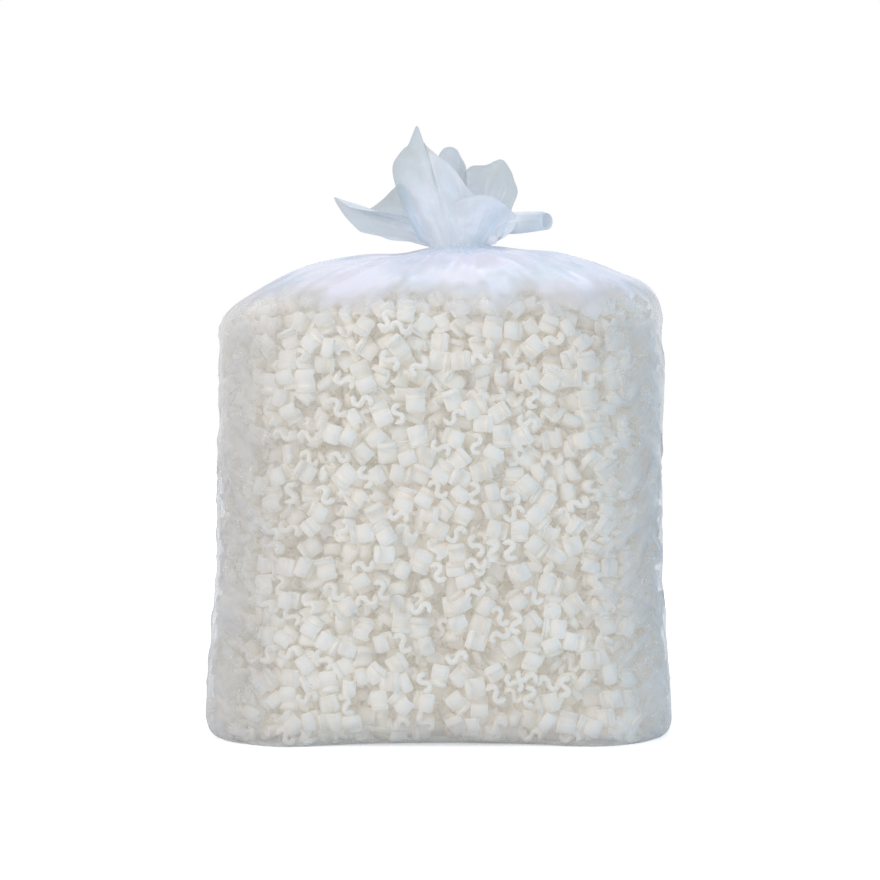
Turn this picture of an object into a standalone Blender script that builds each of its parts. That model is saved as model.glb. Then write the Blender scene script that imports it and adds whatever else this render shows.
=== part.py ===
"""Clear film bag of S-shaped foam loose fill, its neck gathered and knotted in its own film.

The bag is one sheet of film: a flat base, loaded walls, a crown that runs into the gathered neck,
and the spread mouth above the knot. Inside it lie the foam peanuts. Those that press on the film
are separate solids in a pocket of their own, and the rest are fused in one heap, whose surface has
one lump for each peanut. Metres, +Z up, origin on the floor under the middle of the bag.
"""

import math
import random

import bmesh
import bpy
import numpy as np
from mathutils import Matrix, Vector
from mathutils.bvhtree import BVHTree

# The filled bag
BAG_WIDTH = 0.574
BAG_DEPTH = 0.406
SHOULDER_HEIGHT = 0.498
CROWN_RISE = 0.108
NECK_HEIGHT = SHOULDER_HEIGHT + CROWN_RISE
BASE_FILLET = 0.034
BASE_HOLLOW = 0.022
FILM_WALL = 0.0008

# The loaded wall: share of the way from the fillet's top to the shoulder, how far the sides and the
# faces draw in from the widest place, and the squareness of the section
WALL_STATIONS = (
    (0.00, 0.000, 0.000, 4.4),
    (0.27, 0.007, 0.002, 4.0),
    (0.59, 0.010, 0.004, 3.7),
    (0.85, 0.010, 0.007, 3.5),
    (1.00, 0.013, 0.013, 3.3),
)
WALL_FOLD_DEPTH = 0.0016
WALL_FOLDS = 7
CROWN_POWER = 1.42
CROWN_DRIFT = 0.4

# The gathered neck, which stands a little to the right of the middle
NECK_OFFSET = 0.026
NECK_WIDTH = 0.084
NECK_DEPTH = 0.062
NECK_SQUARENESS = 2.0
PLEATS = 12
PLEAT_SINK = 0.012
PLEAT_CLOSURE = 0.82

# The spread mouth's edge from the neck's middle, from the right horn round behind and back: the
# lobes' tips and the dips between them
MOUTH_EDGE = (
    (0.120, -0.018, 0.032),
    (0.069, -0.002, 0.044),
    (0.073, 0.020, 0.068),
    (0.054, 0.036, 0.108),
    (0.032, 0.044, 0.103),
    (0.016, 0.054, 0.097),
    (0.002, 0.050, 0.110),
    (-0.015, 0.044, 0.125),
    (-0.034, 0.050, 0.114),
    (-0.062, 0.056, 0.084),
    (-0.082, 0.042, 0.076),
    (-0.098, 0.026, 0.058),
    (-0.118, 0.004, 0.046),
    (-0.161, -0.010, 0.059),
    (-0.134, -0.022, 0.020),
    (-0.094, -0.032, 0.010),
    (-0.078, -0.034, 0.046),
    (-0.084, -0.028, 0.098),
    (-0.056, -0.034, 0.150),
    (-0.028, -0.040, 0.110),
    (0.000, -0.052, 0.078),
    (0.034, -0.050, 0.062),
    (0.068, -0.036, 0.042),
    (0.114, -0.034, 0.016),
)
MOUTH_PULL = (0.30, 0.30, 0.46)

# One foam peanut: an S of two hooked half rings, cut from a strand
PEANUT_RING = 0.0057
PEANUT_WALL = 0.0060
PEANUT_WIDTH = 0.0232
PEANUT_HOOK_DEG = 40

# Fits
SEAT_GAP = 0.0003
FILM_SAG = 0.0010
FACET_ROOM = 0.0034
LUMP_DEPTH = 0.0170
CROWN_ROOM = 0.007

# The peanuts that press on the film: rows up the wall as shares of it, and a ring under the crown
WALL_ROWS = (0.15, 0.37, 0.59, 0.81)
PEANUTS_PER_ROW = 10
CROWN_PEANUTS = 6
CROWN_RING = 0.62
SEED = 11

# Facets
FILM_COLUMNS = 48
FILM_WALL_ROWS = 7
FILM_CROWN_ROWS = 7
MOUTH_ROWS = 7
HEAP_COLUMNS = 80
HEAP_WALL_ROWS = 22
HEAP_CROWN_ROWS = 8
FILLET_ROWS = 3
HOOK_STEPS = 4

FILM_COLOR = (0.86, 0.89, 0.93, 0.35)
FOAM_COLOR = (0.86, 0.84, 0.79, 1.0)


def clear_scene():
    for obj in list(bpy.data.objects):
        bpy.data.objects.remove(obj)


def make_collection(name):
    collection = bpy.data.collections.new(name)
    bpy.context.scene.collection.children.link(collection)
    return collection


def make_material(name, color, roughness):
    material = bpy.data.materials.new(name)
    material.use_nodes = True
    shader = material.node_tree.nodes["Principled BSDF"]
    shader.inputs["Base Color"].default_value = color
    shader.inputs["Alpha"].default_value = color[3]
    shader.inputs["Roughness"].default_value = roughness
    shader.inputs["Metallic"].default_value = 0.0
    return material


def smooth_through(x, stations, column):
    """The value of one column of the stations at height x, on a curve with a continuous slope."""
    xs = np.array([station[0] for station in stations])
    ys = np.array([station[column] for station in stations])
    slopes = np.gradient(ys, xs)
    slopes[0] = 0.0
    k = int(np.clip(np.searchsorted(xs, x) - 1, 0, len(xs) - 2))
    span = xs[k + 1] - xs[k]
    t = min(max((x - xs[k]) / span, 0.0), 1.0)
    start = (1 + 2 * t) * (1 - t) ** 2 * ys[k] + t * (1 - t) ** 2 * span * slopes[k]
    end = t * t * (3 - 2 * t) * ys[k + 1] - t * t * (1 - t) * span * slopes[k + 1]
    return start + end


def even_section(half_width, half_depth, squareness, columns):
    """Points of a superellipse at equal steps along its edge, from +X towards +Y, as two arrays."""
    angle = np.linspace(0.0, 2 * math.pi, 721)
    power = 2.0 / squareness
    x = half_width * np.sign(np.cos(angle)) * np.abs(np.cos(angle)) ** power
    y = half_depth * np.sign(np.sin(angle)) * np.abs(np.sin(angle)) ** power
    run = np.concatenate([[0.0], np.cumsum(np.hypot(np.diff(x), np.diff(y)))])
    wanted = run[-1] * np.arange(columns) / columns
    return np.interp(wanted, run, x), np.interp(wanted, run, y)


def wall_ring(height, columns):
    """The bag's section at a height from the floor to the shoulder, before any lump or pleat."""
    above = max(0.0, height - BASE_FILLET) / (SHOULDER_HEIGHT - BASE_FILLET)
    side = smooth_through(above, WALL_STATIONS, 1)
    face = smooth_through(above, WALL_STATIONS, 2)
    squareness = smooth_through(above, WALL_STATIONS, 3)
    tuck = 0.0
    if height < BASE_FILLET:
        tuck = BASE_FILLET - math.sqrt(BASE_FILLET**2 - (BASE_FILLET - height) ** 2)
    half_width = BAG_WIDTH / 2 - side - tuck
    half_depth = BAG_DEPTH / 2 - face - tuck
    x, y = even_section(half_width, half_depth, squareness, columns)
    # The faces stand back in the middle of the base, between the corners that sag
    hollow = BASE_HOLLOW * max(0.0, 1 - height / (2 * BASE_FILLET)) ** 2
    y = y * (1 - hollow / half_depth * np.cos(x / half_width * math.pi / 2) ** 2)
    # Shallow upright folds, none at the base
    rise = min(1.0, height / SHOULDER_HEIGHT)
    turn = np.arange(columns) / columns * 2 * math.pi
    fold = WALL_FOLD_DEPTH * math.sin(math.pi * rise) * (1 + np.sin(WALL_FOLDS * turn + 4 * rise)) / 2
    shrink = 1 - fold / np.hypot(x, y)
    return np.stack([x * shrink, y * shrink, np.full(columns, height)], axis=1)


def crown_ring(angle, columns, drop=0.0):
    """The bag's section on the crown, where the angle runs from 0 at the shoulder to 90 at the neck."""
    keep = math.cos(angle) ** CROWN_POWER
    shoulder = WALL_STATIONS[-1]
    half_width = NECK_WIDTH / 2 + (BAG_WIDTH / 2 - shoulder[1] - NECK_WIDTH / 2) * keep
    half_depth = NECK_DEPTH / 2 + (BAG_DEPTH / 2 - shoulder[2] - NECK_DEPTH / 2) * keep
    squareness = NECK_SQUARENESS + (shoulder[3] - NECK_SQUARENESS) * keep
    x, y = even_section(half_width, half_depth, squareness, columns)
    drift = NECK_OFFSET * (1 - keep) ** CROWN_DRIFT if keep < 1 else 0.0
    height = SHOULDER_HEIGHT + (CROWN_RISE - drop) * math.sin(angle)
    return np.stack([x + drift, y, np.full(columns, height)], axis=1)


def pleat_weights(columns):
    """0 on a pleat's crest and 1 in its valley, for each column."""
    return (1 - np.cos(np.arange(columns) * PLEATS / columns * 2 * math.pi)) / 2


def gathered(ring, closure, sink):
    """The ring with its pleats' valleys drawn towards the neck's axis and sunk."""
    weight = pleat_weights(len(ring))[:, None]
    axis = ring.mean(axis=0)
    axis[2] = ring[0, 2]
    moved = axis + (ring - axis) * (1 - closure * weight)
    moved[:, 2:] -= sink * weight
    return moved


def mouth_curve(columns):
    """The mouth's edge as a closed smooth curve through its points, the same count to each."""
    points = np.array(MOUTH_EDGE) + (NECK_OFFSET, 0.0, NECK_HEIGHT)
    place = np.arange(columns) * len(points) / columns
    first = place.astype(int)
    t = (place - first)[:, None]
    before, here, after, beyond = (points[(first + k) % len(points)] for k in (-1, 0, 1, 2))
    slope = (after - before) / 2
    slope_after = (beyond - here) / 2
    start = (1 + 2 * t) * (1 - t) ** 2 * here + t * (1 - t) ** 2 * slope
    return start + t * t * (3 - 2 * t) * after - t * t * (1 - t) * slope_after


def mouth_rings(rows, columns):
    """Rings from just above the knot to the mouth's edge, each column upright before it spreads."""
    neck = gathered(crown_ring(math.pi / 2, columns), PLEAT_CLOSURE, 0.0)
    spread = crown_ring(math.pi / 2, columns)
    edge = mouth_curve(columns)
    upright = spread + (edge - spread) * np.array(MOUTH_PULL)
    rings = []
    for row in range(1, rows + 1):
        t = row / rows
        start = neck + (spread - neck) * min(1.0, 2 * t)
        rings.append((1 - t) ** 2 * start + 2 * t * (1 - t) * upright + t * t * edge)
    return rings


def base_rings(columns):
    steps = [math.radians(90 * row / FILLET_ROWS) for row in range(FILLET_ROWS)]
    return [wall_ring(BASE_FILLET * (1 - math.cos(step)), columns) for step in steps]


def film_rings():
    rings = base_rings(FILM_COLUMNS)
    for height in np.linspace(BASE_FILLET, SHOULDER_HEIGHT, FILM_WALL_ROWS + 1):
        rings.append(wall_ring(float(height), FILM_COLUMNS))
    for row in range(1, FILM_CROWN_ROWS + 1):
        share = row / FILM_CROWN_ROWS
        ring = crown_ring(math.pi / 2 * share, FILM_COLUMNS)
        sink = PLEAT_SINK * math.sin(math.pi * share) ** 2 * share
        rings.append(gathered(ring, PLEAT_CLOSURE * share**8, sink))
    return rings + mouth_rings(MOUTH_ROWS, FILM_COLUMNS)


def loft(name, rings, close_top):
    """A mesh through closed rings of equal count, fanned shut at the base and, if asked, on top."""
    columns = len(rings[0])
    mesh_data = bmesh.new()
    rows = [[mesh_data.verts.new(point) for point in ring] for ring in rings]
    for lower, upper in zip(rows, rows[1:]):
        for k in range(columns):
            after = (k + 1) % columns
            mesh_data.faces.new((lower[k], lower[after], upper[after], upper[k]))
    ends = [(rows[0], True)] + ([(rows[-1], False)] if close_top else [])
    for row, downward in ends:
        centre = mesh_data.verts.new(sum((v.co for v in row), Vector()) / columns)
        for k in range(columns):
            pair = (row[k], row[(k + 1) % columns])
            mesh_data.faces.new((centre, *(reversed(pair) if downward else pair)))
    mesh = bpy.data.meshes.new(name)
    mesh_data.to_mesh(mesh)
    mesh_data.free()
    return bpy.data.objects.new(name, mesh)


def make_film(collection, material):
    film = loft("bag_film", film_rings(), close_top=False)
    film.data.materials.append(material)
    film.data.shade_smooth()
    collection.objects.link(film)
    wall = film.modifiers.new("film_wall", "SOLIDIFY")
    wall.thickness = FILM_WALL
    wall.offset = -1.0
    return film


def inset_rings(rings, depths):
    """The rings moved inwards by their depths, square to the surface that they span."""
    grid = np.array(rings)
    around = np.roll(grid, -1, axis=1) - np.roll(grid, 1, axis=1)
    upward = np.gradient(grid, axis=0)
    normal = np.cross(around, upward)
    normal /= np.linalg.norm(normal, axis=2, keepdims=True)
    return grid - normal * depths[:, :, None]


def heap_rings():
    """The heap's surface just inside the film: crests and pits take turns, a peanut's size apart."""
    floor = FILM_WALL + SEAT_GAP
    rings = [wall_ring(BASE_FILLET * share, HEAP_COLUMNS) for share in (0.12, 0.45)]
    for height in np.linspace(BASE_FILLET, SHOULDER_HEIGHT, HEAP_WALL_ROWS + 1):
        rings.append(wall_ring(float(height), HEAP_COLUMNS))
    for row in range(1, HEAP_CROWN_ROWS + 1):
        angle = math.pi / 2 * row / (HEAP_CROWN_ROWS + 1)
        rings.append(crown_ring(angle, HEAP_COLUMNS, CROWN_ROOM + PLEAT_SINK))
    noise = np.random.default_rng(SEED).random((len(rings), HEAP_COLUMNS))
    row, column = np.indices(noise.shape)
    pit = (row + column) % 2
    # Where the columns crowd together under the neck, the lumps are as much shallower
    grid = np.array(rings)
    spacing = np.linalg.norm(np.roll(grid, 1, axis=1) - grid, axis=2)
    lump = LUMP_DEPTH * np.minimum(1.0, (spacing / spacing[2].mean()) ** 2)
    depth = FILM_WALL + FACET_ROOM + lump * (0.15 * noise + 0.85 * pit * np.sqrt(noise))
    placed = inset_rings(rings, depth)
    sole = wall_ring(0.0, HEAP_COLUMNS) * (1 - 2 * FACET_ROOM / BAG_DEPTH)
    sole[:, 2] = floor
    placed[:, :, 2] = np.maximum(placed[:, :, 2], floor)
    return [sole, *placed]


def peanut_outline():
    """The S in the plane, in order round it: two hooked half rings whose middles meet at 0, 0."""
    hook = math.radians(180 + PEANUT_HOOK_DEG)
    middle = []
    for step in range(-HOOK_STEPS, HOOK_STEPS + 1):
        angle = hook * abs(step) / HOOK_STEPS
        side = 1 if step > 0 else -1
        centre = side * PEANUT_RING
        x = centre - side * PEANUT_RING * math.cos(angle)
        y = -side * PEANUT_RING * math.sin(angle)
        along = Vector((math.sin(angle), -math.cos(angle)))
        middle.append((Vector((x, y)), along))
    half = PEANUT_WALL / 2
    left = [place + Vector((-along.y, along.x)) * half for place, along in middle]
    right = [place - Vector((-along.y, along.x)) * half for place, along in middle]
    start = middle[0][0] - middle[0][1] * half
    end = middle[-1][0] + middle[-1][1] * half
    return [start, *right, end, *reversed(left)]


def peanut_mesh():
    """The S-shaped strand's end face, carried half its width to each side."""
    outline = peanut_outline()
    curve = bpy.data.curves.new("peanut_outline", "CURVE")
    curve.dimensions = "2D"
    curve.fill_mode = "BOTH"
    curve.extrude = PEANUT_WIDTH / 2
    spline = curve.splines.new("POLY")
    spline.points.add(len(outline) - 1)
    for point, place in zip(spline.points, outline):
        point.co = (place.x, place.y, 0.0, 1.0)
    spline.use_cyclic_u = True
    drawn = bpy.data.objects.new("peanut_outline", curve)
    bpy.context.scene.collection.objects.link(drawn)
    graph = bpy.context.evaluated_depsgraph_get()
    mesh = bpy.data.meshes.new_from_object(drawn.evaluated_get(graph))
    bpy.data.objects.remove(drawn)
    edit = bmesh.new()
    edit.from_mesh(mesh)
    bmesh.ops.remove_doubles(edit, verts=edit.verts, dist=1e-6)
    edit.to_mesh(mesh)
    edit.free()
    mesh.name = "peanut"
    return mesh


def peanut_size():
    """Length, height and width of a peanut's own box."""
    outline = np.array([tuple(point) for point in peanut_outline()])
    span = outline.max(axis=0) - outline.min(axis=0)
    return Vector((span[0], span[1], PEANUT_WIDTH))


def resting_turn(normal, side_out, spin):
    """A rotation that turns one of the peanut's own axes along the normal, and then spins it."""
    to_normal = Vector((0, 0, 1)).rotation_difference(normal).to_matrix()
    upright = {
        "x": Matrix.Rotation(-math.pi / 2, 3, "Y"),
        "y": Matrix.Rotation(math.pi / 2, 3, "X"),
        "z": Matrix.Identity(3),
    }[side_out]
    return to_normal @ Matrix.Rotation(spin, 3, "Z") @ upright


def surface_spot(ring_at, place, step, column, columns):
    """A point of the film's own surface and its outward normal there."""
    ring = ring_at(place, columns)
    above = ring_at(place + step, columns)
    here = Vector(ring[column % columns])
    around = Vector(ring[(column + 1) % columns]) - Vector(ring[(column - 1) % columns])
    upward = Vector(above[column % columns]) - here
    return here, around.cross(upward).normalized()


def heap_crown_ring(angle, columns):
    return crown_ring(angle, columns, CROWN_ROOM + PLEAT_SINK)


def peanut_spots():
    """Points and normals of the film where a separate peanut lies, by rows and then the crown."""
    columns = 360
    spots = []
    for row, share in enumerate(WALL_ROWS):
        height = share * SHOULDER_HEIGHT
        for k in range(PEANUTS_PER_ROW):
            column = round(columns * (k + 0.25 + 0.5 * (row % 2)) / PEANUTS_PER_ROW)
            spots.append(surface_spot(wall_ring, height, 0.001, column, columns))
    for k in range(CROWN_PEANUTS):
        column = round(columns * (k + 0.5) / CROWN_PEANUTS)
        angle = math.acos(CROWN_RING ** (1 / CROWN_POWER))
        spots.append(surface_spot(heap_crown_ring, angle, 0.01, column, columns))
    return spots


def room_outside(body, mesh, pose, normal):
    """How far the mesh, posed, can slide along the normal before a corner of it meets the body."""
    gaps = [body.ray_cast(pose @ vertex.co, normal)[3] for vertex in mesh.vertices]
    return min(gap for gap in gaps if gap is not None)


def make_pocket_cutter(cutters, name, pose, normal):
    """The peanut's own box with its seat gap, and drawn out along the normal to open the pocket."""
    bpy.ops.mesh.primitive_cube_add(size=1.0)
    cutter = bpy.context.object
    cutter.name = name
    cutter.data.transform(Matrix.Diagonal((*(peanut_size() + Vector((2 * SEAT_GAP,) * 3)), 1.0)))
    outward = pose.to_3x3().inverted() @ normal
    for vertex in cutter.data.vertices:
        if vertex.co.dot(outward) > 0:
            vertex.co += outward * (LUMP_DEPTH + FILM_SAG)
    cutter.matrix_world = pose
    for home in cutter.users_collection:
        home.objects.unlink(cutter)
    cutters.objects.link(cutter)
    cutter.hide_render = True
    cutter.display_type = "WIRE"


def make_peanuts(collection, cutters, film, material):
    """The separate peanuts, each slid out until it rests on the film, and the pocket of each."""
    chance = random.Random(SEED)
    film_body = BVHTree.FromObject(film, bpy.context.evaluated_depsgraph_get())
    mesh = peanut_mesh()
    mesh.materials.append(material)
    size = peanut_size()
    for k, (point, normal) in enumerate(peanut_spots()):
        turn = resting_turn(normal, chance.choice("yyyzzx"), chance.uniform(0, math.pi))
        start = Matrix.Translation(point - normal * size.length) @ turn.to_4x4()
        slide = room_outside(film_body, mesh, start, normal) - FILM_SAG
        pose = Matrix.Translation(normal * slide) @ start
        peanut = bpy.data.objects.new(f"peanut_{k + 1:02d}", mesh)
        peanut.matrix_world = pose
        collection.objects.link(peanut)
        make_pocket_cutter(cutters, f"pocket_{k + 1:02d}", pose, normal)


def make_heap(collection, cutters, material):
    heap = loft("peanut_heap", heap_rings(), close_top=True)
    heap.data.materials.append(material)
    collection.objects.link(heap)
    pockets = heap.modifiers.new("pockets", "BOOLEAN")
    pockets.operation = "DIFFERENCE"
    pockets.operand_type = "COLLECTION"
    pockets.collection = cutters
    return heap


def main():
    clear_scene()
    bag = make_collection("packing_peanut_bag")
    cutters = make_collection("pocket_cutters")
    film_material = make_material("clear_film", FILM_COLOR, 0.2)
    foam_material = make_material("white_foam", FOAM_COLOR, 0.8)
    film = make_film(bag, film_material)
    make_peanuts(bag, cutters, film, foam_material)
    make_heap(bag, cutters, foam_material)


main()
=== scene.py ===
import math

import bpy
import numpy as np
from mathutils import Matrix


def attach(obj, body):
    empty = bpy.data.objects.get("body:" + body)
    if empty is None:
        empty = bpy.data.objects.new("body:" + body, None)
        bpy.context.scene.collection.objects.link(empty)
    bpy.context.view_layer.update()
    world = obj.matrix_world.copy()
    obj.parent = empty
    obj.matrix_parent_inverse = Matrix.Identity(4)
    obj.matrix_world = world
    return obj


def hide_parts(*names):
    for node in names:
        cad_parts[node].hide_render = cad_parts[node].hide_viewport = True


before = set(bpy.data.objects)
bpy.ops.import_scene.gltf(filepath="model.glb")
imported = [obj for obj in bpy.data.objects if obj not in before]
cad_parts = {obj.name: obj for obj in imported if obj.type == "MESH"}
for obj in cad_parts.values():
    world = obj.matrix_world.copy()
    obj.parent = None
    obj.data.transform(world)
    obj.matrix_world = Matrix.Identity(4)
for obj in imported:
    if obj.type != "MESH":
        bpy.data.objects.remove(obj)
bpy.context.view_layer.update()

# A clear film bag of S-shaped foam loose fill, knotted at its gathered neck. The foam peanuts are
# settled in the bag by a seeded relaxation, and the film is stretched over the ones that press on it.
# Metres, +Z up, the floor at 0.

# The photograph's camera: its distance from the bag's middle, its height, its focal length in
# pixels, and the pixel that looks straight ahead
CAMERA_BACK = 2.5
CAMERA_HEIGHT = 0.44
FOCAL = 1949.0
AHEAD = (440.0, 376.4)
PHOTO_SIDE = 880
SENSOR = 36.0

# The filled bag, as the solids have it
BAG_WIDTH = 0.574
BAG_DEPTH = 0.406
SHOULDER = 0.498
CROWN_RISE = 0.108
NECK = SHOULDER + CROWN_RISE
FILLET = 0.012
BASE_HOLLOW = 0.022
BASE_SWELL = 0.017
SWELL_MIDDLE = 0.68
SWELL_WIDTH = 0.22
HOLLOW_TOP = 0.060
# Share of the way up the wall, draw-in of the sides and of the faces, squareness of the section
WALL_STATIONS = np.array([
    (0.00, 0.000, 0.000, 4.4),
    (0.27, 0.007, 0.002, 4.0),
    (0.59, 0.010, 0.004, 3.7),
    (0.85, 0.010, 0.007, 3.5),
    (1.00, 0.013, 0.013, 3.3),
])
CROWN_POWER = 1.42
CROWN_DRIFT = 0.4
NECK_X = 0.026
NECK_WIDTH = 0.084
NECK_DEPTH = 0.062
NECK_SQUARENESS = 2.0

# The spread mouth, lobe by lobe: how far its film is gathered white, how deep its folds are and how
# far the white fades towards the edge on the first part of its width; its root's two angles round the
# neck in degrees from +X towards +Y, and their heights above the neck; and the free edge in the same
# order, by the photograph's column and row and by its millimetres behind the bag's middle
LOBES = {
    "mouth_right_lobe": ((0.05, 0.6, 1.0), (10, 84), (0.012, 0.012), (
        (497, 238, 12), (509, 216, 18), (513, 206, 20), (517.5, 193, 22), (514, 181, 24),
        (510, 170.5, 26), (501, 160.5, 28), (486, 166, 30), (470, 168, 30), (463, 182, 32),
        (461, 208, 28),
    )),
    "mouth_middle_lobe": ((0.10, 1.0, 1.0), (60, 130), (0.012, 0.012), (
        (470, 206, 34), (468, 184, 36), (466, 168, 38), (461, 158, 40), (457, 151, 40), (450, 148, 40),
        (443, 150.5, 40), (438, 158, 38), (431, 174, 36), (428, 204, 28),
    )),
    "mouth_back_lobe": ((0.35, 0.8, 0.6), (118, 196), (0.016, 0.008), (
        (430, 206, 14), (414, 196, 10), (401.5, 184.5, 6), (393, 190, 4), (384, 199, 2), (374, 207, 0),
        (364, 214, -6), (386, 224, -10), (416, 234, -12),
    )),
    "mouth_peak": ((1.0, 1.2, 0.9), (192, 340), (0.000, 0.000), (
        (419, 240, -28), (413, 228, -32), (405, 213, -34), (399, 197, -34), (394, 181, -32),
        (392.5, 170, -30), (395, 161, -30), (403.5, 150, -30), (408, 146.5, -30), (412, 137, -30),
        (417, 127, -30), (422, 137, -30), (427, 147, -32), (437.5, 156, -34), (442, 160, -34),
        (448, 164, -35), (455, 171, -36), (461, 179, -37), (467, 188, -38), (476, 196, -40),
        (490, 200, -40), (503, 207, -38), (510, 212, -36), (505, 221, -32), (496, 231, -26),
    )),
    "mouth_leaf": ((0.45, 0.22, 0.4), (222, 190), (0.022, 0.002), (
        (428, 219, -10), (410, 217, -24), (388, 213.5, -34), (366, 211.5, -34), (349, 207.5, -26),
        (334.5, 198, -16), (343, 214, -18), (357, 229.5, -24), (364, 233.5, -28), (380, 237, -30),
        (391, 241, -30), (408, 242.5, -24), (424, 244, -10),
    )),
    "mouth_fold": ((1.0, 0.35, 0.1), (258, 338), (0.002, -0.001), (
        (440, 211, -14), (452, 204, -32), (466, 198.5, -45), (480, 195.5, -50), (492, 197, -50),
        (502, 203, -44), (510, 209.5, -36), (515, 217, -34), (515, 227, -34), (507, 236, -30),
    )),
}
LOBE_ROOT = 0.47
LOBE_PULL = np.array([0.41, 0.41, 0.50])
LOBE_PLEAT = 0.0022
LOBE_FOLD = 0.011
# The rolled horn on the right: its middle line by column, row and millimetres back, and its half
# heights in millimetres
HORN = ((478, 229, -6, 4.0), (492, 227, -12, 8.5), (506, 224.5, -19, 13.0), (520, 223, -24, 14.2),
        (534, 222, -26, 13.2), (542, 221.5, -26, 12.4), (547, 222, -25, 11.0))
HORN_TURN = 2.35 * math.pi
HORN_FLATNESS = 0.80
HORN_CUT = 0.0075
# The neck's column: how far it starts below the neck and how tall it is
NECK_SINK = 0.009
NECK_TALL = 0.039

# One foam peanut: an S of two hooked half rings, cut from a strand
RING = 0.0057
STRAND = 0.0060
LENGTH = 0.0232
ENDS = (-LENGTH / 2, LENGTH / 2)
HOOK = math.radians(220)
SOLID_STATIONS = 9
EDGE_ROUND = 0.0016
FLOOR_CLEAR = 0.0012
SIZES = ((0.90, 1.0), (0.92, 1.04), (0.86, 1.0))
AS_SOLID = ((1.0, 1.0),) * 3

# How the peanuts settle: where they start, the balls that stand for each, and when they grow and lean
PEANUTS = 8800
START_PITCH = 0.0240
START_BOX = ((-0.29, 0.29), (-0.21, 0.21), (0.012, NECK))
START_DEPTH = 0.010
SETTLE_ROUNDS = 110
GROWN_BY = 0.6 * SETTLE_ROUNDS
LEAN_UNTIL = 0.9 * SETTLE_ROUNDS
PAIR_ROUNDS = 4
PAIR_SLACK = 0.004
BALL = 0.0070
BALL_REACH = np.array([0.0068, 0.0, 0.0042])
FILM_CLEAR = 0.0004
FILM_PUSH = 1.6
CROWN_CLEAR = 0.016
SLOPE_STEP = 0.0015
MOST_SPIN = 0.25
LEAN = 0.0003
SINK = 0.4 * LEAN
SINK_TOP = 0.040
# How deep in the bag the peanuts lie that may touch the film, that lean on it, and that are drawn
# in full or more plainly
TOUCH_DEPTH = 0.0225
LEAN_DEPTH = 0.022
SKIN_DEPTH = 0.017
FINE_DEPTH = 0.036

# The film over the peanuts: how far it may sink between them, how far each round of tension pulls it
# in, how far it lies over them, and how far it stands out past the even sections in all
SAG_MOST = 0.0034
SAG_PULL = 0.00002
TENSION_ROUNDS = 60
FILM_OVER = 0.0008
FILM_OUT = 0.0022
# Where the crown stands out more or less: bells over x, by their height, middle and width
CROWN_BELLS = ((0.0045, -0.158, 0.045), (0.0048, 0.160, 0.07), (-0.0035, -0.045, 0.035))
# The way round the bag, its four upright corners as shares of it from +X towards +Y, and how far
# to each side of them the film hangs loose
PERIMETER = 1.72
CORNERS = (0.092, 0.408, 0.592, 0.908)
CORNER_REACH = 0.062
# Creases by their count, and by their least and greatest length, width and height
WALL_CREASES = (150, (0.03, 0.085), (0.0038, 0.0060), (0.0006, 0.0018))
CORNER_FOLDS = (9, (0.06, 0.15), (0.0040, 0.0070), (0.0016, 0.0036))
CROWN_PLEATS = (54, (0.06, 0.18), (0.0045, 0.0100), (0.0012, 0.0040))
CROWN_FOLDS = (26, (0.10, 0.22), (0.014, 0.026), (0.0020, 0.0050))
# Waves round the bag by their count, size and phase: the gathers of the crown, and the edge of its haze
GATHERS = ((12, 0.45, 0.0), (19, 0.30, 1.3), (31, 0.25, 2.2), (47, 0.15, 0.4))
HAZE_EDGE = ((5, 0.030, 0.7), (9, 0.035, 2.0), (16, 0.040, 4.1), (29, 0.035, 1.1), (53, 0.025, 3.0))
# Where the haze starts and how far it takes to be full, as shares of the crown's rise
HAZE_START = 0.03
HAZE_SPAN = 0.52
SHOULDER_HAZE = 0.24
# How loose the film is at the floor, and up to where
FLOOR_LOOSE = 0.8
FLOOR_REACH = 0.055
BASE_RINGS = (0.80, 0.55, 0.30)
# The painted glints, white slivers raised on the film: how many, how far they stand out, and between
# which numbers each one's height, slant, half length and half width lie
PINCHES = 260
PINCH_OVER = 0.0005
PINCH_SPANS = ((0.025, 0.470), (0.15, 1.0), (0.0014, 0.0042), (0.0006, 0.0012))

# Painted glow, emission standing in for the light that the foam scatters on through itself and that
# its crevices give back, and for the light that gathered layers of film pass on to each other
FOAM_PAINTED_GLOW = 0.150
FILM_PAINTED_GLOW = 0.10
WHITE = (1.0, 1.0, 1.0)

# The floor's side and height, the sky's light, and each lamp's place, target, width and height,
# power and colour
FLOOR_SIDE = 12.0
FLOOR_HEIGHT = -0.0004
WORLD_LIGHT = 0.38
LAMPS = {
    "key_front": ((-1.5, -2.1, 1.5), (0.0, 0.0, 0.40), (2.1, 1.7), 12.0, (1.0, 0.955, 0.910)),
    "warm_left": ((-0.9, -1.3, 1.0), (-0.14, -0.2, 0.44), (0.6, 0.6), 2.8, (1.0, 0.925, 0.870)),
    "fill_right": ((2.1, -1.2, 0.75), (0.0, 0.0, 0.32), (0.9, 1.4), 12.0, (0.44, 0.76, 1.0)),
    "strip_left": ((-2.3, -0.9, 0.9), (0.0, 0.0, 0.33), (0.25, 1.5), 3.0, (1.0, 0.98, 0.96)),
    "top": ((0.1, 0.1, 2.3), (0.0, 0.0, 0.45), (1.6, 1.6), 16.0, (0.95, 0.96, 1.0)),
}

# Facets
FILM_COLUMNS = 360
FILLET_ROWS = 8
WALL_ROWS = 132
CROWN_ROWS = 64
LOBE_COLUMNS = 96
LOBE_ROWS = 44
HORN_COLUMNS = 72
HORN_ROWS = 40
NECK_COLUMNS = 300
NECK_ROWS = 30
PINCH_STEPS = 9


def rng_for(name):
    """A seeded generator for one use, so that no draw depends on another piece."""
    return np.random.default_rng(sum(ord(letter) for letter in name))


def bell(x, middle, width):
    """A Gaussian of height 1."""
    return np.exp(-(((x - middle) / width) ** 2))


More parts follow.
